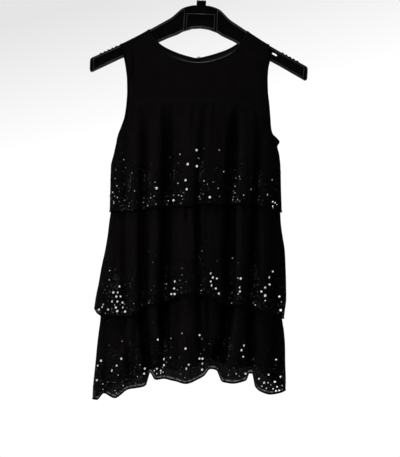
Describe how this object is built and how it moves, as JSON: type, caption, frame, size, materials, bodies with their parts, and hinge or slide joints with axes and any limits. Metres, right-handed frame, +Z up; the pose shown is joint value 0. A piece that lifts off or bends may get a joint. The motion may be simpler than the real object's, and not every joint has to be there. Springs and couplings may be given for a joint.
{
  "type": "a-line dress on a hanger",
  "caption": "Black sleeveless a-line dress in three gathered chiffon tiers with sequinned hems, hung on a black moulded hanger with a wire hook.",
  "frame": {"origin": "inside top of the hanger's hook, where the rod carries it", "axes": "+X to the right as seen from the front, +Y towards the back of the dress, +Z up"},
  "size_m": [0.4335, 0.1446, 0.859],
  "materials": {
    "chiffon": "sheer matt weave",
    "binding": "soft satin",
    "sequin": "mirror gloss",
    "button": "gloss",
    "moulded_plastic": "satin",
    "steel_wire": "bright"
  },
  "bodies": {
    "root": {"front_yoke": "chiffon", "back_yoke_left": "chiffon", "back_yoke_right": "chiffon", "tier_1_front": "chiffon", "tier_1_back": "chiffon", "tier_2_front": "chiffon", "tier_2_back": "chiffon", "tier_3_front": "chiffon", "tier_3_back": "chiffon", "neck_binding_front": "binding", "neck_binding_back_left": "binding", "neck_binding_back_right": "binding", "armhole_binding_left_front": "binding", "armhole_binding_left_back": "binding", "armhole_binding_right_front": "binding", "armhole_binding_right_back": "binding", "nape_button": "button", "nape_loop": "binding", "hanger_body": "moulded_plastic", "hanger_hook": "steel_wire"}
  },
  "joints": []
}
